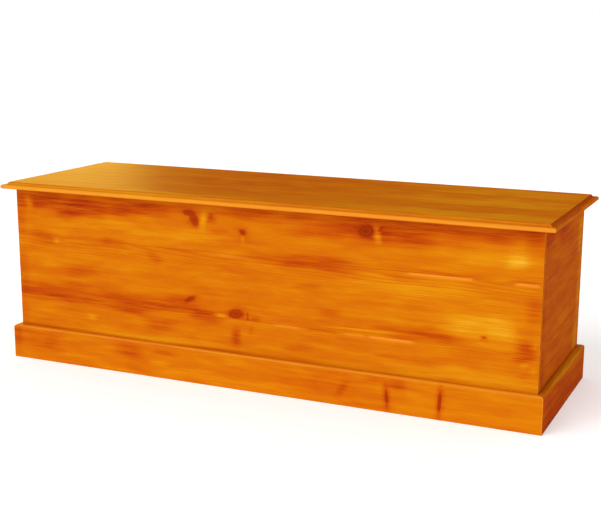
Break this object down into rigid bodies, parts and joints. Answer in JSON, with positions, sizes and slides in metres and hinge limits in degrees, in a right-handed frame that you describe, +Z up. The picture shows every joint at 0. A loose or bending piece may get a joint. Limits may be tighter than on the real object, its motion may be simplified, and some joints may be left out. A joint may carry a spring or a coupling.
{
  "type": "pine coffin",
  "caption": "Chest-shaped coffin of edge-glued stained boards, hollow, on a mitred plinth, with an overhanging moulded lid that lifts off.",
  "frame": {"origin": "middle of the underside, on the floor", "axes": "+X along the coffin's length, +Y from the front to the back, +Z up"},
  "size_m": [1.978, 0.658, 0.6456],
  "materials": {
    "stained_pine": "honey-stained pine under satin varnish",
    "plain_pine": "bare planed pine"
  },
  "bodies": {
    "root": {"back_board_1": "stained_pine", "back_board_2": "stained_pine", "back_board_3": "stained_pine", "front_board_1": "stained_pine", "front_board_2": "stained_pine", "front_board_3": "stained_pine", "left_board_1": "stained_pine", "left_board_2": "stained_pine", "left_board_3": "stained_pine", "lid_board_1": "stained_pine", "lid_board_2": "stained_pine", "lid_board_3": "stained_pine", "lid_moulding_back": "stained_pine", "lid_moulding_front": "stained_pine", "lid_moulding_left": "stained_pine", "lid_moulding_right": "stained_pine", "plinth_back": "stained_pine", "plinth_front": "stained_pine", "plinth_left": "stained_pine", "plinth_right": "stained_pine", "right_board_1": "stained_pine", "right_board_2": "stained_pine", "right_board_3": "stained_pine", "base_board_1": "plain_pine", "base_board_2": "plain_pine", "base_board_3": "plain_pine"}
  },
  "joints": []
}
